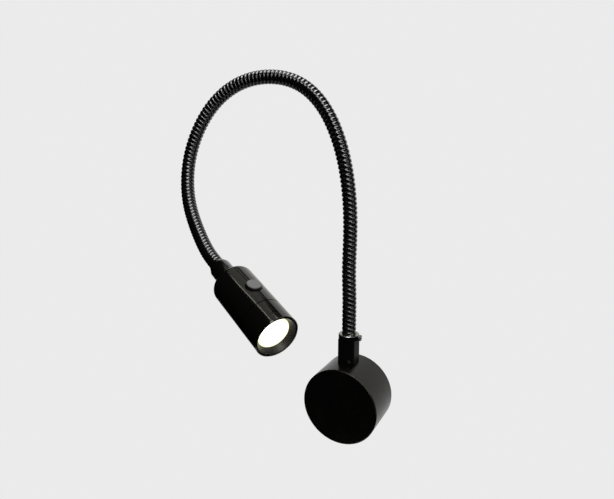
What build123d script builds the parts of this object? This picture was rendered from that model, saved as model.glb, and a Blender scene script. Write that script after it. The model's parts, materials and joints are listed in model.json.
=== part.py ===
from build123d import *
import math
import os

# Bedside wall reading lamp: a drum-shaped wall base, a coupler block on top of it, a ribbed
# gooseneck arm and a small cylindrical LED head with a push button.
# Row frame, millimetres: the origin is the centre of the drum's wall face, +X to the right
# along the wall, +Y into the wall, +Z up.

# ---- hidden fasteners and wires: plain shapes with few sides ----
small_sides = 8
clearance = 0.1
screw_fit = 0.02
grub_socket = 0.8

# ---- drum on the wall ----
drum_radius = 30.0
drum_depth = 35.5
drum_wall = 2.0
drum_front_wall = 2.5
drum_edge = 0.7
plate_thickness = 1.6
plate_lip_depth = 8.0
plate_lip_wall = 1.6
plate_slip = 0.25
wall_hole_radius = 2.25
wall_hole_spacing = 38.0
cable_hole_radius = 5.0
grommet_bore_radius = 3.3
grommet_flange_radius = 6.2
grommet_flange_thickness = 1.4
shell_screw_radius = 1.5
shell_screw_depth = 5.0
shell_screw_angles = (245.0, 295.0)

# ---- mains side inside the drum ----
terminal_ways = 3
terminal_pitch = 7.0
terminal_height = 11.0
terminal_depth = 11.0
terminal_rim_gap = 2.65
terminal_well_radius = 2.2
terminal_entry = 2.6
terminal_floor = 4.4
terminal_screw_length = 4.0
screw_slot = 0.8
tray_height = 11.0
tray_wall = 1.2
tray_depth = 6.0
tray_ledge = 2.4
tray_rim_gap = 1.0
tray_grommet_gap = 0.3
board_thickness = 1.6
board_slip = 0.2
part_gap = 0.5
transformer_width = 9.0
transformer_height = 8.0
transformer_depth = 10.5
core_height = 4.8
winding_width = 5.4
winding_inset = 1.0
capacitor_radius = 2.2
capacitor_length = 10.0
earth_screw_angle = 210.8
earth_rim_gap = 1.1
earth_screw_radius = 1.6
earth_head_radius = 3.0
earth_head_height = 2.0
earth_tag_thickness = 0.8
earth_tag_length = 5.0
earth_tag_width = 2.4
earth_tag_rim = 0.5

# ---- coupler block and its hardware ----
stem_y = -drum_depth / 2
block_side = 13.4
block_edge = 1.8
block_sink = 2.0
block_head_radius = 7.9
block_head_height = 4.0
block_head_edge = 0.4
block_height = 23.5
block_top = drum_radius + block_height
boss_radius = 8.0
boss_height = 1.6
washer_radius = 7.4
washer_sides = 12
washer_thickness = 0.8
nut_across_flats = 12.0
nut_thickness = 3.0
nipple_radius = 4.0
nipple_bore_radius = 2.4
nipple_fit = 0.05
nipple_hold = 6.0
nipple_reach = 1.6
lead_overlap = 1.5
block_screw_x = 3.2
block_screw_height = 3.4
block_screw_radius = 1.5
block_screw_sink = 0.2
clamp_screw_drop = 2.2
clamp_shank_radius = 1.0
clamp_head_radius = 1.6
clamp_head_length = 1.6
clamp_neck_length = 0.9
clamp_slot = 0.6

# ---- gooseneck ----
hose_crest_radius = 5.5
hose_groove_radius = 4.9
hose_bore_radius = 2.9
hose_sides = 8
hose_segments = 8
ribs_per_segment = 17
segment_gap = 0.04
lead_radius = 1.9
lead_sides = 6
lead_steps = 5
lead_tail = 20.0
swivel_fit = 0.05
ferrule_flange_radius = 5.65
ferrule_tip_length = 6.0
ferrule_recess = 1.1
ferrule_gap = 0.5
drum_lead_drop = 5.0
drum_lead_turn = 3.0
drum_lead_land = 2.0

# ---- lamp head ----
head_radius = 14.9
head_rim = (-8.6, -110.5, 80.8)
head_turn = -27.5
head_dip = 20.0
barrel_length = 18.7
head_length = 63.0
head_wall = 1.6
head_fillet = 4.5
head_back_wall = 3.0
rim_wall = 1.2
rim_edge = 0.5
seam_gap = 0.25
seam_edge = 0.4
barrel_spigot = 4.6
barrel_spigot_wall = 1.35
thread_fit = 0.05
bezel_depth = 5.0
bezel_set_back = 0.5
bezel_lip = 0.35
lens_aperture_radius = 11.0
lens_thickness = 3.0
lens_step = 0.4
seal_thickness = 0.8
seal_width = 1.4
seal_sides = 24
reflector_flange = 0.8
reflector_skin = 0.6
reflector_throat_radius = 3.4
led_board_radius = 10.5
led_board_inset = 1.2
led_side = 5.0
led_base = 0.7
led_height = 1.3
led_window_radius = 2.0
heat_sink_slots = 3
heat_sink_slot_width = 2.0
heat_sink_slot_depth = 2.6
board_screw_radius = 0.95
board_screw_length = 4.0
board_screw_head = 1.8
board_screw_head_height = 1.0
board_screw_place = 7.4
led_wire_radius = 0.6
led_wire_place = 4.5
led_wire_run = 3.0

# ---- push button on the head ----
button_set_back = 16.3
button_place = barrel_length + button_set_back
button_radius = 5.2
button_gap = 0.5
button_rise = 1.7
button_flange_radius = 6.1
button_flange_height = 1.0
button_flange_gap = 1.0
button_travel = 1.2
button_edge = 0.6
button_wall = 1.0
button_crown = 3.0
plunger_side = 3.0
plunger_slip = 0.15
plunger_depth = 1.2
switch_side = 8.0
switch_height = 5.2
switch_gap = 0.4
switch_board_lead = 0.5
switch_board_gap = 3.5

# ---- collar between head and gooseneck ----
collar_radius = 7.8
collar_length = 21.2
collar_taper = 4.0
collar_mouth_radius = 6.5
collar_hose_fit = 0.15
collar_lead_fit = 0.3
collar_nut_across = 11.0
collar_spigot_radius = 4.0
collar_spigot_length = 7.0
collar_seat_depth = 10.8

# Guide points of the arm's centre line between its two straight ends, chosen by eye. The
# line is a uniform cubic B-spline through the end runs and these points.
spline_order = 4
end_run = 16.0
arm_guides = [
    (-2, -16, 105),
    (-1, -14, 140),
    (-5, -15, 183),
    (-21, -14, 223),
    (-51, -10, 247),
    (-96, -10, 249),
    (-130, -13, 228),
    (-146, -22, 190),
    (-139, -35, 155),
    (-119, -50, 134),
]

os.makedirs("parts", exist_ok=True)


# ---- frames and small helpers ----
def head_axis():
    """Direction in which the lens looks."""
    turn = math.radians(head_turn)
    dip = math.radians(head_dip)
    return Vector(math.cos(dip) * math.cos(turn), math.cos(dip) * math.sin(turn), -math.sin(dip))


def head_up():
    """Direction of the button side, square to the head's axis and in its vertical plane."""
    turn = math.radians(head_turn)
    dip = math.radians(head_dip)
    return Vector(math.sin(dip) * math.cos(turn), math.sin(dip) * math.sin(turn), math.cos(dip))


# In the head's own frame +Z looks out of the lens from the rim plane and +X is the button side.
head_frame = Location(Plane(origin=head_rim, x_dir=head_up(), z_dir=head_axis()))
stem_axis = Location((0, stem_y, 0))
# In the drum's frame +Z points out of the wall, so a height there is a distance from the wall.
drum_frame = Location(Plane(origin=(0, 0, 0), x_dir=(1, 0, 0), z_dir=(0, -1, 0)))


def save(node, shape):
    """Write one node's STEP file."""
    shape.label = node
    export_step(shape, f"parts/{node}.step")


def turned(*corners):
    """Solid turned about Z from the (radius, height) corners of its half section."""
    return revolve(Plane.XZ * make_face(Polyline(*corners, close=True)), Axis.Z)


def rod(radius, low, high):
    """Round bar on Z between two heights."""
    return Pos(0, 0, low) * extrude(Circle(radius), high - low)


def small_rod(radius, low, high):
    """Bar with few sides on Z, for hidden fasteners and wires."""
    return Pos(0, 0, low) * extrude(RegularPolygon(radius, small_sides), high - low)


def bar(width, depth, low, high):
    """Rectangular bar on Z between two heights."""
    return Pos(0, 0, low) * extrude(Rectangle(width, depth), high - low)


def hex_nut(across_flats, bore, low, high):
    """Hexagon nut on Z with a plain bore."""
    blank = Pos(0, 0, low) * extrude(RegularPolygon(across_flats / 2, 6, major_radius=False), high - low)
    return blank - rod(bore, low, high)


def grub_screw(radius, length):
    """Grub screw on Z, its socket end at z = 0 and its tip at -length."""
    socket_depth = 0.4 * length
    body = small_rod(radius, -length, 0)
    return body - Pos(0, 0, -socket_depth) * extrude(RegularPolygon(grub_socket, 6), socket_depth)


# ---- the arm's centre line ----
hose_bottom = block_top - ferrule_recess
hose_seat = head_length + collar_length - collar_seat_depth


def on_head_axis(distance):
    """Point on the head's axis, a distance behind the rim plane."""
    return Vector(*head_rim) - head_axis() * distance


def arm_controls():
    """Control points of the centre line: four in line at each end and the guides between."""
    stem = [Vector(0, stem_y, hose_bottom + k * end_run) for k in (-1, 0, 1, 2)]
    tail = [on_head_axis(hose_seat + k * end_run) for k in (2, 1, 0, -1)]
    return stem + [Vector(*point) for point in arm_guides] + tail


def spline_point(controls, u):
    """Point of the uniform cubic B-spline at parameter u, counted in spans."""
    span = min(int(u), len(controls) - spline_order)
    t = u - span
    weights = (
        (1 - t) ** 3,
        3 * t ** 3 - 6 * t ** 2 + 4,
        -3 * t ** 3 + 3 * t ** 2 + 3 * t + 1,
        t ** 3,
    )
    point = Vector(0, 0, 0)
    for weight, control in zip(weights, controls[span:span + spline_order]):
        point += control * (weight / 6)
    return point


def measured_line(samples_per_span=40):
    """The centre line as points, with the length run at each."""
    controls = arm_controls()
    spans = len(controls) - spline_order + 1
    count = spans * samples_per_span
    points = [spline_point(controls, spans * k / count) for k in range(count + 1)]
    runs = [0.0]
    for before, after in zip(points, points[1:]):
        runs.append(runs[-1] + (after - before).length)
    return points, runs


line_points, line_runs = measured_line()
arm_length = line_runs[-1]
segment_length = arm_length / hose_segments
rib_pitch = segment_length / ribs_per_segment


def line_at(run):
    """Point and direction of the centre line at a length; it runs on straight past its ends."""
    if run <= 0:
        return line_points[0] + Vector(0, 0, run), Vector(0, 0, 1)
    if run >= arm_length:
        return line_points[-1] + head_axis() * (run - arm_length), head_axis()
    k = next(i for i, length in enumerate(line_runs) if length >= run)
    before = line_points[k - 1]
    after = line_points[k]
    share = (run - line_runs[k - 1]) / (line_runs[k] - line_runs[k - 1])
    low = line_points[max(k - 2, 0)]
    high = line_points[min(k + 1, len(line_points) - 1)]
    return before + (after - before) * share, (high - low).normalized()


def section_plane(run):
    """Plane across the arm, its X axis kept as near to the wall's normal as it can be."""
    point, direction = line_at(run)
    steady = Vector(0, 1, 0)
    across = steady - direction * steady.dot(direction)
    return Plane(origin=point, x_dir=across.normalized(), z_dir=direction)


# ---- drum and wall plate ----
def make_drum_shell():
    """Turned cup, closed at the front, with a flat boss inside under the coupler."""
    inner = drum_radius - drum_wall
    cup = turned(
        (0, drum_depth),
        (drum_radius - drum_edge, drum_depth),
        (drum_radius, drum_depth - drum_edge),
        (drum_radius, 0),
        (inner, 0),
        (inner, drum_depth - drum_front_wall),
        (0, drum_depth - drum_front_wall),
    )
    cup = drum_frame * cup
    boss = stem_axis * rod(boss_radius, inner - boss_height, drum_radius - drum_wall / 2)
    cup += boss
    cup -= stem_axis * rod(nipple_radius + nipple_fit, 0, drum_radius + 1)
    for angle in shell_screw_angles:
        cup -= shell_screw_place(angle) * rod(shell_screw_radius, -2 * drum_wall, drum_wall)
    return cup


def shell_screw_place(angle):
    """Frame on the drum's side: +Z points outwards from the surface at a screw."""
    turn = math.radians(angle)
    outward = Vector(math.cos(turn), 0, math.sin(turn))
    origin = outward * drum_radius + Vector(0, -shell_screw_depth, 0)
    return Location(Plane(origin=origin, x_dir=(0, 1, 0), z_dir=outward))


def make_shell_screws():
    """Two grub screws in the cup's wall that bear on the plate's lip from below."""
    sink = 0.3
    length = drum_wall + plate_slip - sink
    screw = Pos(0, 0, -sink) * grub_screw(shell_screw_radius, length)
    return Compound(children=[shell_screw_place(angle) * screw for angle in shell_screw_angles])


def plate_inner():
    """Radius inside the plate's lip, where the mains side has its room."""
    return drum_radius - drum_wall - plate_slip - plate_lip_wall


def make_wall_plate():
    """Pressed steel plate with a lip that the cup slides over."""
    inner = plate_inner()
    outer = inner + plate_lip_wall
    plate = turned(
        (0, 0),
        (outer, 0),
        (outer, plate_lip_depth),
        (inner, plate_lip_depth),
        (inner, plate_thickness),
        (0, plate_thickness),
    )
    plate -= rod(cable_hole_radius, 0, plate_thickness)
    for side in (-1, 1):
        plate -= Pos(side * wall_hole_spacing / 2, 0, 0) * rod(wall_hole_radius, 0, plate_thickness)
    plate -= earth_place() * small_rod(earth_screw_radius, 0, plate_thickness)
    return drum_frame * plate


def make_cable_grommet():
    """Rubber bush in the plate's cable hole."""
    return drum_frame * turned(
        (grommet_bore_radius, 0),
        (cable_hole_radius, 0),
        (cable_hole_radius, plate_thickness),
        (grommet_flange_radius, plate_thickness),
        (grommet_flange_radius, plate_thickness + grommet_flange_thickness),
        (grommet_bore_radius, plate_thickness + grommet_flange_thickness),
    )


# ---- mains side ----
def make_terminal_block():
    """Screw terminal strip: a wire bore and a screw well for each way."""
    width = terminal_ways * terminal_pitch
    low = plate_thickness
    block = bar(width, terminal_height, low, low + terminal_depth)
    for place in way_places():
        block -= Pos(place, 0, 0) * small_rod(terminal_well_radius, low + terminal_floor, low + terminal_depth)
        entry = bar(terminal_entry, 2 * terminal_height, low + terminal_floor - terminal_entry, low + terminal_floor)
        block -= Pos(place, 0, 0) * entry
    return drum_frame * terminal_place() * block


def terminal_place():
    """The strip stands low on the plate, its lower corners clear of the lip."""
    half_width = terminal_ways * terminal_pitch / 2
    low = math.sqrt((plate_inner() - terminal_rim_gap) ** 2 - half_width ** 2)
    return Pos(0, terminal_height / 2 - low, 0)


def way_places():
    """Places of the ways along the strip."""
    return [(k - (terminal_ways - 1) / 2) * terminal_pitch for k in range(terminal_ways)]


def make_terminal_screws():
    """One slotted brass screw in each well."""
    low = plate_thickness + terminal_floor
    high = low + terminal_screw_length
    slot = bar(screw_slot, 3 * terminal_well_radius, high - screw_slot, high)
    screw = small_rod(terminal_well_radius - clearance, low, high) - slot
    screws = [drum_frame * terminal_place() * Pos(place, 0, 0) * screw for place in way_places()]
    return Compound(children=screws)


def tray_place():
    """Middle of the tray, just above the grommet's flange."""
    return Pos(0, grommet_flange_radius + tray_grommet_gap + tray_height / 2, 0)


def tray_width():
    """The tray is as wide as its upper corners leave clear of the lip."""
    top = tray_place().position.Y + tray_height / 2
    return 2 * math.sqrt((plate_inner() - tray_rim_gap) ** 2 - top ** 2)


def make_driver_tray():
    """Insulating tray on the plate that carries the LED driver."""
    low = plate_thickness
    floor = low + tray_wall
    width = tray_width() - 2 * tray_wall
    height = tray_height - 2 * tray_wall
    tray = bar(tray_width(), tray_height, low, low + tray_depth)
    tray -= bar(width, height, floor, low + tray_depth)
    ledges = bar(width, height, floor, driver_level())
    tray += ledges - bar(width - 2 * tray_ledge, height, floor, driver_level())
    return drum_frame * tray_place() * tray


def driver_level():
    """Distance from the wall to the back of the driver's board."""
    return plate_thickness + tray_depth / 2


def make_driver_board():
    """Circuit board in the tray."""
    edge = 2 * tray_wall + 2 * board_slip
    low = driver_level()
    board = bar(tray_width() - edge, tray_height - edge, low, low + board_thickness)
    return drum_frame * tray_place() * board


def make_driver_transformer():
    """Wound transformer: a ferrite block with a taped winding showing on both sides."""
    low = driver_level() + board_thickness
    high = low + transformer_depth
    core = bar(transformer_width, core_height, low, high)
    winding = bar(winding_width, transformer_height, low + winding_inset, high - winding_inset)
    beside_lead = Pos(-lead_radius - part_gap - transformer_width / 2, 0, 0)
    return drum_frame * tray_place() * beside_lead * (core + winding)


def make_driver_capacitors():
    """Two electrolytic capacitors standing on the board."""
    low = driver_level() + board_thickness
    can = Pos(0, 0, low) * extrude(RegularPolygon(capacitor_radius, 2 * small_sides), capacitor_length)
    first = lead_radius + part_gap + capacitor_radius
    places = (first, first + 2 * capacitor_radius + part_gap)
    return Compound(children=[drum_frame * tray_place() * Pos(place, 0, 0) * can for place in places])


def earth_place():
    """The earth screw's place by the lip, with +X pointing away from the plate's middle."""
    distance = plate_inner() - earth_rim_gap - earth_head_radius - earth_tag_rim
    return Rot(0, 0, earth_screw_angle) * Pos(distance, 0, 0)


def make_earth_screw():
    """Pan-head earth screw in the plate, on its ring tag."""
    low = plate_thickness
    seat = low + earth_tag_thickness
    top = seat + earth_head_height
    screw = small_rod(earth_screw_radius - clearance, clearance, seat)
    screw += small_rod(earth_head_radius, seat, top)
    screw -= bar(screw_slot, 3 * earth_head_radius, top - screw_slot, top)
    tag = small_rod(earth_head_radius + earth_tag_rim, low, seat)
    tag += Pos(-earth_tag_length / 2, 0, 0) * bar(earth_tag_length, earth_tag_width, low, seat)
    tag -= small_rod(earth_screw_radius, low, seat)
    place = drum_frame * earth_place()
    return place * screw, place * tag


# ---- coupler ----
def boss_face():
    """Height of the flat face under the drum's inner boss."""
    return drum_radius - drum_wall - boss_height


nipple_bottom = boss_face() - washer_thickness - nut_thickness - nipple_reach
nipple_top = drum_radius + nipple_hold
lead_root = nipple_bottom + lead_overlap


def make_stem_nipple():
    """Hollow threaded nipple that holds the block on the drum."""
    tube = rod(nipple_radius, nipple_bottom, nipple_top) - rod(nipple_bore_radius, nipple_bottom, nipple_top)
    return stem_axis * tube


def make_nipple_washer():
    """Lock washer with cut corners between the boss and the nut."""
    low = boss_face() - washer_thickness
    blank = Pos(0, 0, low) * extrude(RegularPolygon(washer_radius, washer_sides), washer_thickness)
    return stem_axis * (blank - rod(nipple_radius + clearance, low, boss_face()))


def make_nipple_nut():
    """Hexagon nut inside the drum."""
    high = boss_face() - washer_thickness
    return stem_axis * hex_nut(nut_across_flats, nipple_radius + nipple_fit, high - nut_thickness, high)


def block_neck():
    """Height where the square body ends and the round head begins."""
    return block_top - block_head_height


def make_coupler_block():
    """Square block, saddled to the drum, with a round head that takes the arm's ferrule."""
    body = bar(block_side, block_side, drum_radius - block_sink, block_neck())
    body = fillet(body.edges().filter_by(Axis.Z), block_edge)
    head = rod(block_head_radius, block_neck(), block_top)
    head = chamfer(head.edges().group_by(Axis.Z)[-1], block_head_edge)
    block = body + head
    seat = ferrule_flange_radius + swivel_fit
    block -= rod(nipple_radius + nipple_fit, 0, block_neck())
    block -= rod(seat, block_neck(), block_top)
    block -= clamp_place() * rod(clamp_shank_radius, 0, 2 * block_head_radius)
    screw_hole = rod(block_screw_radius, 0, block_side)
    block -= Pos(block_screw_x, 0, block_screw_z()) * Rot(90, 0, 0) * screw_hole
    block = stem_axis * block
    drum = drum_frame * rod(drum_radius, -1, drum_depth + 1)
    return block - drum


def block_screw_z():
    """Height of the grub screw, a little above the drum."""
    return drum_radius + block_screw_height


def clamp_place():
    """Place of the set screw in the block's round head: +Z points to the right."""
    return Pos(0, 0, block_top - clamp_screw_drop) * Rot(0, 90, 0)


def make_block_screw():
    """Grub screw low on the block's front face, bearing on the nipple."""
    front = stem_y - block_side / 2 + block_screw_sink
    reach = math.sqrt(nipple_radius ** 2 - (block_screw_x - block_screw_radius) ** 2)
    length = stem_y - reach - front - clearance
    place = Location(Plane(origin=(block_screw_x, front, block_screw_z()), x_dir=(1, 0, 0), z_dir=(0, -1, 0)))
    return place * grub_screw(block_screw_radius - screw_fit, length)


def make_clamp_screw():
    """Small set screw with a slotted disc head, through the block's round head."""
    start = ferrule_flange_radius + swivel_fit
    neck_end = block_head_radius + clamp_neck_length
    top = neck_end + clamp_head_length
    screw = small_rod(clamp_shank_radius - screw_fit, start, neck_end)
    screw += rod(clamp_head_radius, neck_end, top)
    screw -= bar(clamp_slot, 3 * clamp_head_radius, top - clamp_slot, top)
    return stem_axis * clamp_place() * screw


# ---- gooseneck ----
def make_ferrule_lower():
    """Turned plug on the arm's lower end: spigot, flange and the tip inside the hose."""
    bore = lead_radius + clearance
    spigot = nipple_radius - swivel_fit
    foot = nipple_top + ferrule_gap
    flange_foot = block_neck() + clearance
    tip = hose_bore_radius * math.cos(math.pi / lead_sides) - swivel_fit
    tip_end = hose_bottom + ferrule_tip_length
    plug = turned(
        (bore, foot),
        (spigot, foot),
        (spigot, flange_foot),
        (ferrule_flange_radius, flange_foot),
        (ferrule_flange_radius, hose_bottom),
        (tip, hose_bottom),
        (tip, tip_end),
        (bore, tip_end),
    )
    return stem_axis * plug


def make_hose(index):
    """One stretch of the gooseneck: ribs as a ruled loft through rings, with the bore out."""
    start = index * segment_length + segment_gap / 2
    pitch = (segment_length - segment_gap) / ribs_per_segment
    rings = []
    for rib in range(ribs_per_segment):
        for share, radius in ((0.0, hose_groove_radius), (0.25, hose_crest_radius), (0.75, hose_crest_radius)):
            rings.append(section_plane(start + (rib + share) * pitch) * RegularPolygon(radius, hose_sides))
    end = start + ribs_per_segment * pitch
    rings.append(section_plane(end) * RegularPolygon(hose_groove_radius, hose_sides))
    bore = []
    for step in range(lead_steps + 1):
        run = start + (end - start) * step / lead_steps
        bore.append(section_plane(run) * RegularPolygon(hose_bore_radius, lead_sides))
    return loft(rings, ruled=True) - loft(bore, ruled=True)


def make_lead(index):
    """One stretch of the two-core lead inside the gooseneck."""
    start = index * segment_length + segment_gap / 2
    end = (index + 1) * segment_length - segment_gap / 2
    if index == 0:
        start = lead_root - hose_bottom
    if index == hose_segments - 1:
        end = arm_length + lead_tail
    rings = []
    for step in range(lead_steps + 1):
        run = start + (end - start) * step / lead_steps
        rings.append(section_plane(run) * RegularPolygon(lead_radius, lead_sides))
    return loft(rings, ruled=True)


def make_drum_lead():
    """The lead's tail from the nipple down to the driver's board."""
    top = lead_root - segment_gap
    elbow = Vector(0, stem_y, top - drum_lead_drop)
    tail = tray_place().position.Y + tray_height / 2 - tray_wall - drum_lead_land
    end = Vector(0, -driver_level() - board_thickness - lead_radius - 2 * clearance, tail)
    path = FilletPolyline((0, stem_y, top), elbow, end, radius=drum_lead_turn)
    start = Plane(origin=path @ 0, z_dir=path % 0, x_dir=(1, 0, 0))
    return sweep(start * RegularPolygon(lead_radius, lead_sides), path)


# ---- lamp head, in the head's own frame: z is minus the distance behind the rim ----
def make_rear_housing():
    """Turned cup that forms the back of the head, with the button's hole on top."""
    inner = head_radius - head_wall
    cup = rod(head_radius, -head_length, -barrel_length - seam_gap)
    cup = fillet(cup.edges().group_by(Axis.Z)[0], head_fillet)
    cup -= rod(inner, -head_length + head_back_wall, -barrel_length)
    cup -= rod(collar_spigot_radius + thread_fit, -head_length, -head_length + head_back_wall)
    hole = Pos(0, 0, -button_place) * Rot(0, 90, 0) * rod(button_radius + button_gap, 0, 2 * head_radius)
    return head_frame * (cup - hole)


def barrel_throat():
    """Radius of the bore through the barrel's spigot."""
    return head_radius - head_wall - thread_fit - barrel_spigot_wall


def make_front_barrel():
    """Front half of the head: lens seat, rim and the spigot that screws into the housing."""
    inner = head_radius - rim_wall
    shoulder = bezel_depth + lens_thickness + seal_thickness + reflector_flange
    spigot = head_radius - head_wall - thread_fit
    barrel = turned(
        (head_radius - rim_edge, 0),
        (head_radius, -rim_edge),
        (head_radius, -barrel_length + seam_edge),
        (head_radius - seam_edge, -barrel_length),
        (spigot, -barrel_length),
        (spigot, -barrel_length - barrel_spigot),
        (barrel_throat(), -barrel_length - barrel_spigot),
        (barrel_throat(), -shoulder),
        (inner, -shoulder),
        (inner, 0),
    )
    return head_frame * barrel


def make_bezel_ring():
    """Threaded ring with a conical face that holds the lens in."""
    outer = head_radius - rim_wall - thread_fit
    ring = turned(
        (outer - bezel_lip, -bezel_set_back),
        (outer, -bezel_set_back),
        (outer, -bezel_depth),
        (lens_aperture_radius, -bezel_depth),
        (lens_aperture_radius, -bezel_depth + lens_step),
    )
    return head_frame * ring


def lens_radius():
    """Lens and seal share the seat in the barrel."""
    return head_radius - rim_wall - clearance


def make_lens():
    """Frosted lens, a flat disc with a low step that fills the ring's aperture."""
    front = -bezel_depth
    disc = rod(lens_radius(), front - lens_thickness, front)
    return head_frame * (disc + rod(lens_aperture_radius - clearance, front, front + lens_step))


def make_lens_seal():
    """Flat silicone ring behind the lens."""
    low = -bezel_depth - lens_thickness - seal_thickness
    outline = RegularPolygon(lens_radius(), seal_sides) - RegularPolygon(lens_radius() - seal_width, seal_sides)
    return head_frame * Pos(0, 0, low) * extrude(outline, seal_thickness)


def led_face():
    """Place of the LED board's front face."""
    return -barrel_length - barrel_spigot + led_board_inset


def make_reflector():
    """Bright conical reflector between the lens and the LED."""
    flange_front = -bezel_depth - lens_thickness - seal_thickness
    flange_back = flange_front - reflector_flange
    mouth = barrel_throat() - clearance - reflector_skin
    throat_place = led_face() + led_height + clearance
    cone = turned(
        (mouth, flange_front),
        (lens_radius(), flange_front),
        (lens_radius(), flange_back),
        (mouth + reflector_skin, flange_back),
        (reflector_throat_radius + reflector_skin, throat_place),
        (reflector_throat_radius, throat_place),
    )
    return head_frame * cone


def make_led_board():
    """Round metal-core board."""
    low = led_face() - board_thickness
    board = rod(led_board_radius, low, led_face())
    for side in (-1, 1):
        board -= Pos(side * board_screw_place, 0, 0) * small_rod(board_screw_radius + clearance, low, led_face())
    return head_frame * board


def make_led_chip():
    """Square LED package with its round window."""
    low = led_face()
    base = bar(led_side, led_side, low, low + led_base)
    window = rod(led_window_radius, low + led_base, low + led_height)
    return head_frame * (base + window)


def make_board_screws():
    """Two pan-head screws from the board into the heat sink."""
    face = led_face()
    screw = small_rod(board_screw_head, face, face + board_screw_head_height)
    screw += small_rod(board_screw_radius, face - board_thickness - board_screw_length, face)
    return Compound(children=[head_frame * Pos(side * board_screw_place, 0, 0) * screw for side in (-1, 1)])


def make_heat_sink():
    """Aluminium slug behind the board, up to the button's flange and slotted across its back."""
    front = led_face() - board_thickness
    low = -button_place + button_flange_radius + part_gap
    sink = rod(head_radius - head_wall - thread_fit, low, front)
    for k in range(heat_sink_slots):
        place = (k - (heat_sink_slots - 1) / 2) * 3 * heat_sink_slot_width
        slot = bar(heat_sink_slot_width, 3 * head_radius, low, low + heat_sink_slot_depth)
        sink -= Pos(place, 0, 0) * slot
    for side in (-1, 1):
        sink -= Pos(side * board_screw_place, 0, 0) * small_rod(board_screw_radius + clearance, low, front)
        sink -= Pos(0, side * led_wire_place, 0) * bar(3 * led_wire_radius, 3 * led_wire_radius, low, front)
    return head_frame * sink


def make_led_wires():
    """Two insulated wires from the switch board through the heat sink to the LED board."""
    start = led_face() - board_thickness
    end = -button_place - led_wire_run
    wire = small_rod(led_wire_radius, end, start)
    return Compound(children=[head_frame * Pos(0, side * led_wire_place, 0) * wire for side in (-1, 1)])


# Heights over the head's axis, from the button down to the board that it works on.
button_top = head_radius + button_rise
flange_high = math.sqrt((head_radius - head_wall) ** 2 - button_flange_radius ** 2) - button_flange_gap
flange_low = flange_high - button_flange_height
switch_top = flange_low - button_travel - switch_gap
plunger_low = switch_top - plunger_depth
switch_board_top = switch_top - switch_height


def make_switch_board():
    """Board across the housing that carries the switch, from the heat sink to the collar."""
    half_width = math.sqrt((head_radius - head_wall) ** 2 - switch_board_top ** 2) - board_slip
    front = -button_place + switch_side / 2 + switch_board_lead
    back = -head_length + collar_spigot_length + switch_board_gap
    board = Pos(switch_board_top - board_thickness / 2, 0, (front + back) / 2)
    return head_frame * board * Box(board_thickness, 2 * half_width, front - back)


def button_axis():
    """Frame at the head's axis under the button: +Z points outwards through it."""
    return head_frame * Pos(0, 0, -button_place) * Rot(0, 90, 0)


def make_switch_body():
    """Latching push switch on its board, with the plunger's pocket."""
    body = bar(switch_side, switch_side, switch_board_top, switch_top)
    pocket_side = plunger_side + 2 * plunger_slip
    pocket = bar(pocket_side, pocket_side, plunger_low - button_travel - part_gap, switch_top)
    return button_axis() * (body - pocket)


def make_switch_plunger():
    """Square plunger of the switch, pushed by the button."""
    return button_axis() * bar(plunger_side, plunger_side, plunger_low, button_top - button_crown)


def make_button():
    """Round cap, hollow underneath, kept in by its flange."""
    bore = button_radius - button_wall
    cap = turned(
        (0, button_top),
        (button_radius - button_edge, button_top),
        (button_radius, button_top - button_edge),
        (button_radius, flange_high),
        (button_flange_radius, flange_high),
        (button_flange_radius, flange_low),
        (bore, flange_low),
        (bore, button_top - button_crown),
        (0, button_top - button_crown),
    )
    return button_axis() * cap


def make_collar():
    """Turned collar that joins the arm to the head."""
    back = -head_length
    end = back - collar_length
    seat = hose_crest_radius + collar_hose_fit
    lead_bore = lead_radius + collar_lead_fit
    collar = turned(
        (lead_bore, back + collar_spigot_length),
        (collar_spigot_radius, back + collar_spigot_length),
        (collar_spigot_radius, back),
        (collar_radius, back),
        (collar_radius, end + collar_taper),
        (collar_mouth_radius, end),
        (seat, end),
        (seat, end + collar_seat_depth),
        (lead_bore, end + collar_seat_depth),
    )
    return head_frame * collar


def make_collar_nut():
    """Hexagon nut on the collar's spigot, inside the housing."""
    low = -head_length + head_back_wall
    return head_frame * hex_nut(collar_nut_across, collar_spigot_radius + thread_fit, low, low + nut_thickness)


# ---- write every node ----
save("drum_shell", make_drum_shell())
save("shell_screws", make_shell_screws())
save("wall_plate", make_wall_plate())
save("cable_grommet", make_cable_grommet())
save("terminal_block", make_terminal_block())
save("terminal_screws", make_terminal_screws())
save("driver_tray", make_driver_tray())
save("driver_board", make_driver_board())
save("driver_transformer", make_driver_transformer())
save("driver_capacitors", make_driver_capacitors())
earth_screw, earth_tag = make_earth_screw()
save("earth_screw", earth_screw)
save("earth_tag", earth_tag)
save("drum_lead", make_drum_lead())
save("stem_nipple", make_stem_nipple())
save("nipple_washer", make_nipple_washer())
save("nipple_nut", make_nipple_nut())
save("coupler_block", make_coupler_block())
save("block_screw", make_block_screw())
save("clamp_screw", make_clamp_screw())
save("ferrule_lower", make_ferrule_lower())
for index in range(hose_segments):
    save(f"hose_{index + 1}", make_hose(index))
    save(f"lead_{index + 1}", make_lead(index))
save("collar", make_collar())
save("collar_nut", make_collar_nut())
save("rear_housing", make_rear_housing())
save("front_barrel", make_front_barrel())
save("bezel_ring", make_bezel_ring())
save("lens", make_lens())
save("lens_seal", make_lens_seal())
save("reflector", make_reflector())
save("led_board", make_led_board())
save("led_chip", make_led_chip())
save("board_screws", make_board_screws())
save("heat_sink", make_heat_sink())
save("led_wires", make_led_wires())
save("switch_board", make_switch_board())
save("switch_body", make_switch_body())
save("switch_plunger", make_switch_plunger())
save("button", make_button())

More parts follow.
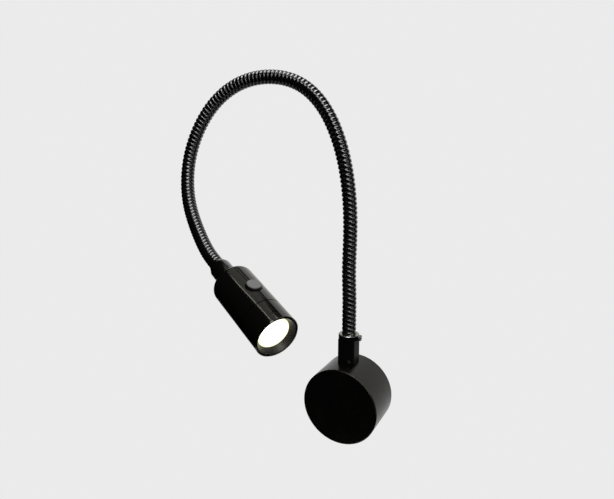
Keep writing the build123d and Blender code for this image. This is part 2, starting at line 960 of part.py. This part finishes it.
# The places and directions of the bends, and the rib pitch, for the record.
print(f"arm length {arm_length:.1f}, segment {segment_length:.2f}, rib pitch {rib_pitch:.3f}")
for bend in range(1, hose_segments):
    point, direction = line_at(bend * segment_length)
    before = line_at((bend - 0.5) * segment_length)[1]
    after = line_at((bend + 0.5) * segment_length)[1]
    across = before.cross(after)
    turn = math.degrees(math.asin(min(1.0, across.length)))
    print(f"bend_{bend} at {point} along {direction} turning {turn:.1f} about {across.normalized()}")
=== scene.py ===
import json
import math

import bmesh
import bpy
from mathutils import Matrix, Vector


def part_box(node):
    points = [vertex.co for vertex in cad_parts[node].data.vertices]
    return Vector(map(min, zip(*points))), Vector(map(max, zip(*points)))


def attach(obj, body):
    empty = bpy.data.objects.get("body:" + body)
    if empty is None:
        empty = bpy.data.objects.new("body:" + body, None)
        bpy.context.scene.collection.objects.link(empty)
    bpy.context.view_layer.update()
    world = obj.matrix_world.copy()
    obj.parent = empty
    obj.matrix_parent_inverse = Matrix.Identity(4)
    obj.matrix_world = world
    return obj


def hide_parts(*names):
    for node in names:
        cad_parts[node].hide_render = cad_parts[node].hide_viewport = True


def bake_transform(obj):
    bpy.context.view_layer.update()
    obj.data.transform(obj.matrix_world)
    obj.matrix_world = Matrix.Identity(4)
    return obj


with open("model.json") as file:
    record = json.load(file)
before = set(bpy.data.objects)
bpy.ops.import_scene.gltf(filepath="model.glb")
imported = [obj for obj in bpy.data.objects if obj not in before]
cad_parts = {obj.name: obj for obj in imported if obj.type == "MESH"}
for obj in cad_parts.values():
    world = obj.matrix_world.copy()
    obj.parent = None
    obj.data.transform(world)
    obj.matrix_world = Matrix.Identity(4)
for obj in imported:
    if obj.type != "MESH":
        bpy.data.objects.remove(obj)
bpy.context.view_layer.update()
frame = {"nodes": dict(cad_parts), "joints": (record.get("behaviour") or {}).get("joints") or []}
nodes = frame["nodes"]
joints = {joint["name"]: joint for joint in frame["joints"]}


# ---- camera ----
# The photograph's view: from the right of the lamp and a little above it, looking left and
# down, with a moderate wide angle. The place is in the lamp's own frame.
camera_place = Vector((0.138, -0.3565, 0.192))
camera_turn = math.radians(27.22)
camera_dip = math.radians(11.3)
camera_lens = 29.32
camera_sensor = 36.0
camera_near = 0.01
camera_far = 20.0

camera_data = bpy.data.cameras.new("camera")
camera_data.lens = camera_lens
camera_data.sensor_width = camera_sensor
camera_data.clip_start = camera_near
camera_data.clip_end = camera_far
camera = bpy.data.objects.new("camera", camera_data)
bpy.context.scene.collection.objects.link(camera)
camera_right = Vector((math.cos(camera_turn), math.sin(camera_turn), 0.0))
camera_back = Vector(
    (
        math.sin(camera_turn) * math.cos(camera_dip),
        -math.cos(camera_turn) * math.cos(camera_dip),
        math.sin(camera_dip),
    )
)
camera_up = camera_back.cross(camera_right)
camera_turned = Matrix((camera_right, camera_up, camera_back)).transposed().to_4x4()
camera.matrix_world = Matrix.Translation(camera_place) @ camera_turned
bpy.context.scene.camera = camera
bpy.context.scene.view_settings.view_transform = "Standard"


# ---- drum base ----
# A steel cup, turned and lacquered satin black, that closes over a plate on the wall. Its
# front edge is broken by a narrow chamfer, and two grub screws hold it from below.
drum_black = (0.0016, 0.0015, 0.0014, 1.0)
drum_specular = 0.2
drum_roughness = (0.22, 0.32)
drum_cloud_scale = 60.0
drum_peel_depth = 0.000004
lacquer_sheen = (1.0, 0.96, 0.8, 1.0)
lacquer_peel_scale = 900.0
cloud_detail = 4.0
weld_gap = 0.000002
crease_angle = math.radians(28.0)


def new_material(name):
    """A material with its node tree, its shader and Object coordinates ready."""
    material = bpy.data.materials.new(name)
    material.use_nodes = True
    tree = material.node_tree
    shader = tree.nodes["Principled BSDF"]
    place = tree.nodes.new("ShaderNodeTexCoord").outputs["Object"]
    return material, tree, shader, place


def add_noise(tree, place, scale, detail=2.0):
    """A noise pattern, counted per metre."""
    noise = tree.nodes.new("ShaderNodeTexNoise")
    noise.inputs["Scale"].default_value = scale
    noise.inputs["Detail"].default_value = detail
    tree.links.new(place, noise.inputs["Vector"])
    return noise.outputs["Fac"]


def add_range(tree, value, low, high, low_in=0.3, high_in=0.7):
    """A value spread over a range."""
    spread = tree.nodes.new("ShaderNodeMapRange")
    spread.inputs["From Min"].default_value = low_in
    spread.inputs["From Max"].default_value = high_in
    spread.inputs["To Min"].default_value = low
    spread.inputs["To Max"].default_value = high
    tree.links.new(value, spread.inputs["Value"])
    return spread.outputs["Result"]


def add_bump(tree, shader, height, depth):
    """A bump from a height pattern, its depth in metres."""
    bump = tree.nodes.new("ShaderNodeBump")
    bump.inputs["Strength"].default_value = 1.0
    bump.inputs["Distance"].default_value = depth
    tree.links.new(height, bump.inputs["Height"])
    tree.links.new(bump.outputs["Normal"], shader.inputs["Normal"])


def make_lacquer(name, colour, roughness, cloud_scale, peel_depth, specular=0.5):
    """Sprayed lacquer: an even colour, cloudy gloss and a fine orange peel."""
    material, tree, shader, place = new_material(name)
    shader.inputs["Base Color"].default_value = colour
    shader.inputs["Specular IOR Level"].default_value = specular
    shader.inputs["Specular Tint"].default_value = lacquer_sheen
    clouds = add_noise(tree, place, cloud_scale, cloud_detail)
    tree.links.new(add_range(tree, clouds, *roughness), shader.inputs["Roughness"])
    add_bump(tree, shader, add_noise(tree, place, lacquer_peel_scale), peel_depth)
    return material


def finish_node(name, material):
    """A CAD node's finish: its material, joined triangles and smooth curves with sharp edges."""
    piece = nodes[name]
    piece.data.materials.clear()
    piece.data.materials.append(material)
    for polygon in piece.data.polygons:
        polygon.use_smooth = True
        polygon.material_index = 0
    weld = piece.modifiers.new("joined", "WELD")
    weld.merge_threshold = weld_gap
    split = piece.modifiers.new("edges", "EDGE_SPLIT")
    split.split_angle = crease_angle
    return piece


drum_lacquer = make_lacquer(
    "drum_lacquer", drum_black, drum_roughness, drum_cloud_scale, drum_peel_depth, drum_specular
)
finish_node("drum_shell", drum_lacquer)
finish_node("shell_screws", drum_lacquer)


# ---- wall plate and mains side ----
# A pressed zinc-plated plate with a rubber grommet for the cable, a screw terminal strip and
# the LED driver's board in its tray. All of it is closed in by the drum.
zinc_grey = (0.55, 0.56, 0.58, 1.0)
zinc_roughness = (0.25, 0.45)
zinc_grain_scale = 400.0
brass_yellow = (0.62, 0.45, 0.17, 1.0)
brass_roughness = (0.22, 0.4)
brass_grain_scale = 500.0
grain_detail = 6.0
grain_depth = 0.000005
mottle_scale = 700.0
mottle_detail = 3.0
mottle_depth = 0.000008
# The moulded looks: a shade, the close shade that mottles it, and the roughness.
black_look = ((0.012, 0.012, 0.012, 1.0), (0.02, 0.02, 0.02, 1.0), 0.55)
cream_look = ((0.68, 0.64, 0.52, 1.0), (0.62, 0.58, 0.47, 1.0), 0.45)
green_look = ((0.015, 0.11, 0.045, 1.0), (0.02, 0.15, 0.06, 1.0), 0.35)
blue_look = ((0.01, 0.015, 0.06, 1.0), (0.015, 0.02, 0.08, 1.0), 0.3)
grey_look = ((0.62, 0.62, 0.6, 1.0), (0.55, 0.55, 0.53, 1.0), 0.5)


def make_metal(name, colour, roughness, grain_scale):
    """Bare or plated metal with a fine uneven grain."""
    material, tree, shader, place = new_material(name)
    shader.inputs["Base Color"].default_value = colour
    shader.inputs["Metallic"].default_value = 1.0
    grain = add_noise(tree, place, grain_scale, grain_detail)
    tree.links.new(add_range(tree, grain, *roughness), shader.inputs["Roughness"])
    add_bump(tree, shader, grain, grain_depth)
    return material


def make_moulding(name, colour, mottled, roughness):
    """Moulded plastic or rubber: two close shades and a matt skin."""
    material, tree, shader, place = new_material(name)
    mottle = tree.nodes.new("ShaderNodeMix")
    mottle.data_type = "RGBA"
    mottle.inputs["A"].default_value = colour
    mottle.inputs["B"].default_value = mottled
    pattern = add_noise(tree, place, mottle_scale, mottle_detail)
    tree.links.new(add_range(tree, pattern, 0.0, 1.0), mottle.inputs["Factor"])
    tree.links.new(mottle.outputs["Result"], shader.inputs["Base Color"])
    shader.inputs["Roughness"].default_value = roughness
    add_bump(tree, shader, pattern, mottle_depth)
    return material


zinc_plate = make_metal("zinc_plate", zinc_grey, zinc_roughness, zinc_grain_scale)
bare_brass = make_metal("bare_brass", brass_yellow, brass_roughness, brass_grain_scale)
black_moulding = make_moulding("black_moulding", *black_look)
cream_moulding = make_moulding("cream_moulding", *cream_look)
circuit_board = make_moulding("circuit_board", *green_look)
capacitor_sleeve = make_moulding("capacitor_sleeve", *blue_look)
lead_sleeve = make_moulding("lead_sleeve", *grey_look)
finish_node("wall_plate", zinc_plate)
finish_node("earth_tag", zinc_plate)
finish_node("cable_grommet", black_moulding)
finish_node("terminal_block", cream_moulding)
finish_node("terminal_screws", bare_brass)
finish_node("earth_screw", bare_brass)
finish_node("driver_tray", black_moulding)
finish_node("driver_board", circuit_board)
finish_node("driver_transformer", black_moulding)
finish_node("driver_capacitors", capacitor_sleeve)
finish_node("drum_lead", lead_sleeve)


# ---- coupler block ----
# A square bar with rounded edges, saddled to the drum and held from inside by a hollow
# nipple and nut. Its round head takes the arm's plug, and a small set screw pins it. The
# head's top ring is bare brushed metal.
block_black = (0.0025, 0.0025, 0.0025, 1.0)
block_specular = 0.015
block_roughness = (0.22, 0.34)
block_cloud_scale = 90.0
block_peel_depth = 0.000004
bare_grey = (0.31, 0.305, 0.3, 1.0)
bare_depth = 0.00055
bare_blur = 0.00005
screw_grey = (0.16, 0.157, 0.154, 1.0)
screw_roughness = (0.45, 0.6)
screw_grain_scale = 900.0
upward = (0.0, 0.0, 1.0)


def share_beyond(tree, place, direction, level):
    """1 where a surface lies beyond a plane, 0 before it."""
    along = tree.nodes.new("ShaderNodeVectorMath")
    along.operation = "DOT_PRODUCT"
    along.inputs[1].default_value = direction
    tree.links.new(place, along.inputs[0])
    return add_range(tree, along.outputs["Value"], 0.0, 1.0, level - bare_blur, level + bare_blur)


def mix_colours(tree, share, first, second):
    """A colour that goes from the first to the second with a share."""
    mix = tree.nodes.new("ShaderNodeMix")
    mix.data_type = "RGBA"
    mix.inputs["A"].default_value = first
    mix.inputs["B"].default_value = second
    tree.links.new(share, mix.inputs["Factor"])
    return mix.outputs["Result"]


block_lacquer = make_lacquer(
    "block_lacquer",
    block_black,
    block_roughness,
    block_cloud_scale,
    block_peel_depth,
    block_specular,
)
block_tree = block_lacquer.node_tree
block_shader = block_tree.nodes["Principled BSDF"]
block_place = block_tree.nodes["Texture Coordinate"].outputs["Object"]
block_ring_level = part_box("coupler_block")[1].z - bare_depth
bare_share = share_beyond(block_tree, block_place, upward, block_ring_level)
bare_colour = mix_colours(block_tree, bare_share, block_black, bare_grey)
block_tree.links.new(bare_colour, block_shader.inputs["Base Color"])
block_tree.links.new(bare_share, block_shader.inputs["Metallic"])
finish_node("coupler_block", block_lacquer)
dark_steel = make_metal("dark_steel", screw_grey, screw_roughness, screw_grain_scale)
finish_node("block_screw", dark_steel)
for name in ("stem_nipple", "nipple_washer", "nipple_nut", "ferrule_lower"):
    finish_node(name, zinc_plate)


# ---- set screw ----
# A small turned steel screw that pins the arm's plug. Its slotted head is a broad disc close
# to the block, so the CAD screw's head is spread and its neck shortened on a copy that
# stands in for it.
clamp_spread = 1.45
clamp_neck_cut = 0.0005
clamp_neck_radius = 0.0013


def close_piece(name, bm, material):
    """Turns a finished bmesh into a smooth piece with its normals outwards."""
    bmesh.ops.recalc_face_normals(bm, faces=bm.faces[:])
    for face in bm.faces:
        face.smooth = True
    mesh = bpy.data.meshes.new(name)
    bm.to_mesh(mesh)
    bm.free()
    mesh.materials.append(material)
    piece = bpy.data.objects.new(name, mesh)
    bpy.context.scene.collection.objects.link(piece)
    return piece


clamp_low, clamp_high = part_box("clamp_screw")
clamp_middle = (clamp_low + clamp_high) / 2
clamp_head_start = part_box("coupler_block")[1].x + clamp_neck_cut
clamp_bm = bmesh.new()
clamp_bm.from_mesh(nodes["clamp_screw"].data)
bmesh.ops.remove_doubles(clamp_bm, verts=clamp_bm.verts, dist=weld_gap)
clamp_outer = [vert for vert in clamp_bm.verts if vert.co.x > clamp_head_start]
clamp_rim = [vert for vert in clamp_outer if (vert.co - clamp_middle).yz.length > clamp_neck_radius]
clamp_space = Matrix.Translation(-clamp_middle)
bmesh.ops.scale(clamp_bm, vec=(1.0, clamp_spread, clamp_spread), space=clamp_space, verts=clamp_rim)
bmesh.ops.translate(clamp_bm, vec=(-clamp_neck_cut, 0.0, 0.0), verts=clamp_outer)
clamp_piece = close_piece("clamp_screw_disc", clamp_bm, dark_steel)
clamp_split = clamp_piece.modifiers.new("edges", "EDGE_SPLIT")
clamp_split.split_angle = crease_angle
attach(clamp_piece, "wall_base")
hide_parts("clamp_screw")


# ---- gooseneck ----
# A wound metal hose with a two-core lead inside, black plated, that stays where it is bent.
# Each stretch reaches across two bodies of the arm and is cut in a groove between ribs.
hose_crest = 0.0055
hose_groove = 0.0045
hose_bore = 0.0029
hose_sides = 36
stretches = 8
ribs_per_stretch = 17
cut_before_middle = 9
lead_radius = 0.0019
lead_sides = 12
end_run = 0.016
route_order = 4
route_steps = 40
line_reach = 2
wall_normal = (0.0, 1.0, 0.0)
hose_black = (0.0025, 0.0025, 0.0026, 1.0)
hose_specular = 0.8
hose_roughness = (0.1, 0.17)
hose_cloud_scale = 300.0
bare_end = 0.0009
downward = (0.0, 0.0, -1.0)
arm_guides = [
    (-0.002, -0.016, 0.105),
    (-0.001, -0.014, 0.140),
    (-0.005, -0.015, 0.183),
    (-0.021, -0.014, 0.223),
    (-0.051, -0.010, 0.247),
    (-0.096, -0.010, 0.249),
    (-0.130, -0.013, 0.228),
    (-0.146, -0.022, 0.190),
    (-0.139, -0.035, 0.155),
    (-0.119, -0.050, 0.134),
]
bead_shares = (0.07, 0.2, 0.5, 0.8, 0.93, 1.0)

head_up = -Vector(joints["button_press"]["axis"]).normalized()
head_flat = Vector((head_up.x, head_up.y, 0.0)).normalized()
head_axis = (head_flat * head_up.z - Vector(upward) * head_up.dot(head_flat)).normalized()
lens_low, lens_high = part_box("lens")
lens_middle = (lens_low + lens_high) / 2


def reach(name, direction):
    """How far a CAD node reaches in a direction."""
    return max(vertex.co.dot(direction) for vertex in nodes[name].data.vertices)


def on_head_axis(distance):
    """Point on the head's axis at that reach along it."""
    return lens_middle + head_axis * (distance - lens_middle.dot(head_axis))


swivel = Vector(joints["arm_swivel"]["pos_m"])
hose_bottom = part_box("hose_1")[0].z
hose_seat = reach("hose_8", head_axis)
stem_points = [Vector((swivel.x, swivel.y, hose_bottom + k * end_run)) for k in (-1, 0, 1, 2)]
tail_points = [on_head_axis(hose_seat - k * end_run) for k in (2, 1, 0, -1)]
route_points = stem_points + [Vector(point) for point in arm_guides] + tail_points

route_curve = bpy.data.curves.new("arm_route", "CURVE")
route_curve.dimensions = "3D"
route_curve.resolution_u = route_steps
route_spline = route_curve.splines.new("NURBS")
route_spline.points.add(len(route_points) - 1)
for target, point in zip(route_spline.points, route_points):
    target.co = (*point, 1.0)
route_spline.order_u = route_order
route_spline.use_endpoint_u = False
route_object = bpy.data.objects.new("arm_route", route_curve)
bpy.context.scene.collection.objects.link(route_object)
bpy.context.view_layer.update()
evaluated = route_object.evaluated_get(bpy.context.evaluated_depsgraph_get())
route_mesh = bpy.data.meshes.new_from_object(evaluated)
line_points = [vertex.co.copy() for vertex in route_mesh.vertices]
bpy.data.objects.remove(route_object)
bpy.data.meshes.remove(route_mesh)
line_runs = [0.0]
for before, after in zip(line_points, line_points[1:]):
    line_runs.append(line_runs[-1] + (after - before).length)
arm_length = line_runs[-1]
rib_pitch = arm_length / (stretches * ribs_per_stretch)


def line_at(run):
    """Point and direction of the arm's centre line at a length."""
    run = min(max(run, 0.0), arm_length)
    k = 1
    while k < len(line_runs) - 1 and line_runs[k] < run:
        k += 1
    share = (run - line_runs[k - 1]) / (line_runs[k] - line_runs[k - 1])
    low = line_points[max(k - 1 - line_reach, 0)]
    high = line_points[min(k + line_reach, len(line_points) - 1)]
    return line_points[k - 1].lerp(line_points[k], share), (high - low).normalized()


def section_place(run, radius):
    """Places a unit circle across the arm at a length, its X axis near the wall's normal."""
    point, direction = line_at(run)
    across = Vector(wall_normal)
    across = (across - direction * across.dot(direction)).normalized()
    turned = Matrix((across, direction.cross(across), direction)).transposed().to_4x4()
    return Matrix.Translation(point) @ turned @ Matrix.Scale(radius, 4)


def grow_ring(bm, ring, place, new_place):
    """Extrudes a ring of edges from one place to the next and gives the new ring."""
    grown = bmesh.ops.extrude_edge_only(bm, edges=ring)["geom"]
    verts = [item for item in grown if isinstance(item, bmesh.types.BMVert)]
    fresh = set(verts)
    bmesh.ops.transform(bm, matrix=new_place @ place.inverted(), verts=verts)
    edges = [item for item in grown if isinstance(item, bmesh.types.BMEdge)]
    return [edge for edge in edges if fresh.issuperset(edge.verts)]


def bead_radius(share):
    """Radius over one rib: a rounded bead between two grooves."""
    rise = math.sqrt(max(0.0, 1.0 - (2.0 * share - 1.0) ** 2))
    return hose_groove + (hose_crest - hose_groove) * rise


def make_hose(name, first_rib, last_rib):
    """A hollow stretch of ribs: out along the beads and back through the bore."""
    bm = bmesh.new()
    place = section_place(first_rib * rib_pitch, bead_radius(0.0))
    bmesh.ops.create_circle(bm, segments=hose_sides, radius=1.0, matrix=place)
    mouth = bm.edges[:]
    ring = mouth
    for rib in range(first_rib, last_rib):
        for share in bead_shares:
            new_place = section_place((rib + share) * rib_pitch, bead_radius(share))
            ring = grow_ring(bm, ring, place, new_place)
            place = new_place
    for rib in range(last_rib, first_rib - 1, -1):
        new_place = section_place(rib * rib_pitch, hose_bore)
        ring = grow_ring(bm, ring, place, new_place)
        place = new_place
    bmesh.ops.bridge_loops(bm, edges=mouth + ring)
    return close_piece(name, bm, plated_black)


def make_lead(name, first_rib, last_rib):
    """A stretch of the two-core lead in the hose's bore."""
    bm = bmesh.new()
    place = section_place(first_rib * rib_pitch, lead_radius)
    bmesh.ops.create_circle(bm, segments=lead_sides, radius=1.0, cap_ends=True, matrix=place)
    ring = bm.edges[:]
    for rib in range(first_rib + 1, last_rib + 1):
        new_place = section_place(rib * rib_pitch, lead_radius)
        ring = grow_ring(bm, ring, place, new_place)
        place = new_place
    bmesh.ops.edgeloop_fill(bm, edges=ring)
    return close_piece(name, bm, lead_sleeve)


plated_black, plated_tree, plated_shader, plated_place = new_material("plated_black")
plated_shader.inputs["Specular IOR Level"].default_value = hose_specular
end_level = -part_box("coupler_block")[1].z - bare_end
end_share = share_beyond(plated_tree, plated_place, downward, end_level)
end_colour = mix_colours(plated_tree, end_share, hose_black, bare_grey)
plated_tree.links.new(end_colour, plated_shader.inputs["Base Color"])
plated_tree.links.new(end_share, plated_shader.inputs["Metallic"])
plated_clouds = add_noise(plated_tree, plated_place, hose_cloud_scale, cloud_detail)
plated_sheen = add_range(plated_tree, plated_clouds, *hose_roughness)
plated_tree.links.new(plated_sheen, plated_shader.inputs["Roughness"])
cuts = [0] + [ribs_per_stretch * k - cut_before_middle for k in range(1, stretches + 1)]
cuts.append(ribs_per_stretch * stretches)
arm_bodies = [f"arm_{k}" for k in range(1, stretches)] + ["head"]
for k, (first_rib, last_rib) in enumerate(zip(cuts, cuts[1:])):
    stood_for = sorted({max(k, 1), min(k + 1, stretches)})
    for kind, make in (("hose", make_hose), ("lead", make_lead)):
        piece = make(f"{kind}_stretch_{k}", first_rib, last_rib)
        if k == 0 or k == stretches:
            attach(piece, arm_bodies[min(k, stretches - 1)])
        else:
            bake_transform(piece)
        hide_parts(*[f"{kind}_{number}" for number in stood_for])


# ---- head ----
# A turned cylinder in two halves, screwed together at a fine seam, with a rounded back and a
# tapered collar that takes the arm. It is sprayed gloss black.
head_black = (0.002, 0.002, 0.0018, 1.0)
head_roughness = (0.08, 0.15)
head_cloud_scale = 45.0
head_peel_depth = 0.000002

head_lacquer = make_lacquer(
    "head_lacquer", head_black, head_roughness, head_cloud_scale, head_peel_depth
)
for name in ("rear_housing", "front_barrel", "collar"):
    finish_node(name, head_lacquer)
finish_node("collar_nut", zinc_plate)


# ---- lens and ring ----
# A frosted lens that glows white, yellower at its edge, behind a conical ring of dark
# anodised alloy that screws into the barrel.
ring_grey = (0.062, 0.057, 0.05, 1.0)
ring_roughness = (0.4, 0.52)
ring_grain_scale = 800.0
lens_white = (0.9, 0.9, 0.88, 1.0)
lens_roughness = 0.4
glow_white = (1.0, 0.99, 0.93, 1.0)
glow_edge = (0.85, 0.95, 0.35, 1.0)
glow_middle = 3.0
glow_rim = 0.6
glow_fall_start = 0.007
glow_edge_start = 0.0086
glow_edge_end = 0.0112
frost_scale = 1500.0
frost_range = (0.92, 1.08)
frost_depth = 0.00001

ring_anodised = make_metal("ring_anodised", ring_grey, ring_roughness, ring_grain_scale)
finish_node("bezel_ring", ring_anodised)

glow, glow_tree, glow_shader, glow_place = new_material("lens_glow")
glow_shader.inputs["Base Color"].default_value = lens_white
glow_shader.inputs["Roughness"].default_value = lens_roughness
from_middle = glow_tree.nodes.new("ShaderNodeVectorMath")
from_middle.operation = "SUBTRACT"
from_middle.inputs[1].default_value = lens_middle
glow_tree.links.new(glow_place, from_middle.inputs[0])
off_axis = glow_tree.nodes.new("ShaderNodeVectorMath")
off_axis.operation = "CROSS_PRODUCT"
off_axis.inputs[1].default_value = head_axis
glow_tree.links.new(from_middle.outputs["Vector"], off_axis.inputs[0])
radius = glow_tree.nodes.new("ShaderNodeVectorMath")
radius.operation = "LENGTH"
glow_tree.links.new(off_axis.outputs["Vector"], radius.inputs[0])
edge_share = add_range(glow_tree, radius.outputs["Value"], 0.0, 1.0, glow_edge_start, glow_edge_end)
glow_colour = mix_colours(glow_tree, edge_share, glow_white, glow_edge)
glow_tree.links.new(glow_colour, glow_shader.inputs["Emission Color"])
frost = add_noise(glow_tree, glow_place, frost_scale)
fall = glow_tree.nodes.new("ShaderNodeMath")
fall.operation = "MULTIPLY"
glow_tree.links.new(add_range(glow_tree, frost, *frost_range), fall.inputs[0])
fall_share = add_range(
    glow_tree, radius.outputs["Value"], glow_middle, glow_rim, glow_fall_start, glow_edge_end
)
glow_tree.links.new(fall_share, fall.inputs[1])
glow_tree.links.new(fall.outputs["Value"], glow_shader.inputs["Emission Strength"])
add_bump(glow_tree, glow_shader, frost, frost_depth)
finish_node("lens", glow)
finish_node("lens_seal", cream_moulding)


# ---- light engine ----
# The LED board on its heat sink, with the reflector in front and two wires to the switch.
# None of it shows from outside.
# The metals: a shade, the range of roughness and the grain. The mouldings as above.
reflector_look = ((0.8, 0.8, 0.8, 1.0), (0.08, 0.15), 300.0)
alloy_look = ((0.6, 0.6, 0.61, 1.0), (0.3, 0.5), 600.0)
white_look = ((0.7, 0.7, 0.7, 1.0), (0.65, 0.65, 0.66, 1.0), 0.4)
phosphor_look = ((0.75, 0.6, 0.12, 1.0), (0.7, 0.55, 0.1, 1.0), 0.4)
red_look = ((0.3, 0.02, 0.015, 1.0), (0.35, 0.03, 0.02, 1.0), 0.4)

finish_node("reflector", make_metal("reflector_bright", *reflector_look))
finish_node("led_board", make_moulding("white_board", *white_look))
finish_node("led_chip", make_moulding("phosphor", *phosphor_look))
finish_node("heat_sink", make_metal("bare_alloy", *alloy_look))
finish_node("led_wires", make_moulding("red_sleeve", *red_look))
finish_node("board_screws", zinc_plate)
finish_node("switch_board", circuit_board)
finish_node("switch_body", black_moulding)
finish_node("switch_plunger", cream_moulding)


# ---- push button ----
# A round moulded cap with a grey top, in a hole with a fine gap round it.
button_grey = (0.085, 0.086, 0.081, 1.0)
# The black of the cap's sides is painted shade for the fine gap round the cap.
button_side_shade = (0.004, 0.004, 0.004, 1.0)
button_skin = 0.00035
button_roughness = (0.4, 0.6)
button_grain_scale = 1800.0
button_grain_depth = 0.000015

button_moulding, button_tree, button_shader, button_place = new_material("button_moulding")
button_level = reach("button", head_up) - button_skin
button_share = share_beyond(button_tree, button_place, head_up, button_level)
# Grey on the top skin, painted shade below it on the sides.
button_colour = mix_colours(button_tree, button_share, button_side_shade, button_grey)
button_tree.links.new(button_colour, button_shader.inputs["Base Color"])
button_grain = add_noise(button_tree, button_place, button_grain_scale, mottle_detail)
button_matt = add_range(button_tree, button_grain, *button_roughness)
button_tree.links.new(button_matt, button_shader.inputs["Roughness"])
add_bump(button_tree, button_shader, button_grain, button_grain_depth)
finish_node("button", button_moulding)


# ---- floor, studio and light ----
# A plain pale floor well below the lamp, and a pale world that shows to the camera and in
# reflections. Dark cards, which only reflections show, stand round the lamp but not behind
# it. A softbox hangs overhead, with two narrower ones to its left and a tall one in front.
floor_place = (-0.06, -0.06, -0.35)
floor_radius = 0.25
floor_sides = 96
floor_grey = (0.8, 0.8, 0.8, 1.0)
pale = (0.831, 0.831, 0.831, 1.0)
room_white = (1.0, 1.0, 1.0, 1.0)
room_soft = 0.25
card_colour = (0.0, 0.0, 0.0, 1.0)

floor_bm = bmesh.new()
floor_matrix = Matrix.Translation(floor_place)
bmesh.ops.create_circle(
    floor_bm, cap_ends=True, segments=floor_sides, radius=floor_radius, matrix=floor_matrix
)
floor_paint, _, floor_shader, _ = new_material("floor_paint")
floor_shader.inputs["Base Color"].default_value = floor_grey
floor = close_piece("floor", floor_bm, floor_paint)

world = bpy.data.worlds.new("world")
bpy.context.scene.world = world
world.use_nodes = True
world_tree = world.node_tree
world_tree.nodes.clear()
world_out = world_tree.nodes.new("ShaderNodeOutputWorld")
world_mix = world_tree.nodes.new("ShaderNodeMixShader")
world_soft = world_tree.nodes.new("ShaderNodeBackground")
world_pale = world_tree.nodes.new("ShaderNodeBackground")
world_soft.inputs["Color"].default_value = room_white
world_soft.inputs["Strength"].default_value = room_soft
world_pale.inputs["Color"].default_value = pale
light_path = world_tree.nodes.new("ShaderNodeLightPath")
seen = light_path.outputs["Is Camera Ray"]
for ray in ("Is Glossy Ray", "Is Transmission Ray"):
    either = world_tree.nodes.new("ShaderNodeMath")
    either.operation = "MAXIMUM"
    world_tree.links.new(seen, either.inputs[0])
    world_tree.links.new(light_path.outputs[ray], either.inputs[1])
    seen = either.outputs["Value"]
world_tree.links.new(seen, world_mix.inputs["Fac"])
world_tree.links.new(world_soft.outputs["Background"], world_mix.inputs[1])
world_tree.links.new(world_pale.outputs["Background"], world_mix.inputs[2])
world_tree.links.new(world_mix.outputs["Shader"], world_out.inputs["Surface"])

card_black, _, card_shader, _ = new_material("card_black")
card_shader.inputs["Base Color"].default_value = card_colour
card_shader.inputs["Specular IOR Level"].default_value = 0.0
quarter = math.radians(90.0)
# Each card: its place, its turns about X, Y and Z, and its size.
cards = {
    "card_front": ((0.0, -1.1, 0.2), (quarter, 0.0, 0.0), (4.0, 3.0)),
    "card_left": ((-1.1, -0.3, 0.2), (0.0, quarter, 0.0), (3.0, 2.2)),
    "card_right": ((1.1, 0.65, 0.3), (0.0, quarter, 0.0), (1.4, 1.1)),
    "card_above": ((0.0, -0.13, 1.3), (0.0, 0.0, 0.0), (4.0, 2.56)),
    "card_below": ((0.0, -0.1, -0.9), (0.0, 0.0, 0.0), (4.0, 2.2)),
}
for name, (place, turn, size) in cards.items():
    bm = bmesh.new()
    turned = Matrix.Rotation(turn[1], 4, "Y") @ Matrix.Rotation(turn[0], 4, "X")
    sized = Matrix.Diagonal((size[0], size[1], 1.0, 1.0))
    placed = Matrix.Translation(place) @ turned @ sized
    bmesh.ops.create_grid(bm, x_segments=1, y_segments=1, size=0.5, matrix=placed)
    card = close_piece(name, bm, card_black)
    card.visible_camera = False
    card.visible_diffuse = False
    card.visible_shadow = False
    card.visible_transmission = False


def add_panel(name, place, aim, along, size, brightness):
    """A soft rectangular lamp that looks at a point, its height along a direction."""
    data = bpy.data.lights.new(name, "AREA")
    data.shape = "RECTANGLE"
    data.size, data.size_y = size
    data.energy = brightness * math.pi * size[0] * size[1]
    lamp = bpy.data.objects.new(name, data)
    back = (Vector(place) - Vector(aim)).normalized()
    high = Vector(along)
    high = (high - back * high.dot(back)).normalized()
    facing = Matrix((high.cross(back), high, back)).transposed().to_4x4()
    lamp.matrix_world = Matrix.Translation(place) @ facing
    bpy.context.scene.collection.objects.link(lamp)


depthwise = (0.0, 1.0, 0.0)
# Each softbox: its place, the point it looks at, where its height runs, size and brightness.
softboxes = {
    "overhead": ((0.0, -0.06, 1.0), (0.0, -0.06, 0.0), depthwise, (0.4, 0.7), 9.5),
    "band": ((-0.43, 0.295, 1.0), (-0.43, 0.295, 0.0), depthwise, (0.4, 0.73), 0.5),
    "line": ((-0.5, -0.08, 1.0), (-0.5, -0.08, 0.0), depthwise, (0.3, 0.04), 5.0),
    "key": ((0.31, -0.45, 0.44), (0.0, -0.03, 0.03), (0.62, 0.0, -0.48), (0.12, 0.78), 7.5),
}
for name, softbox in softboxes.items():
    add_panel(name, *softbox)
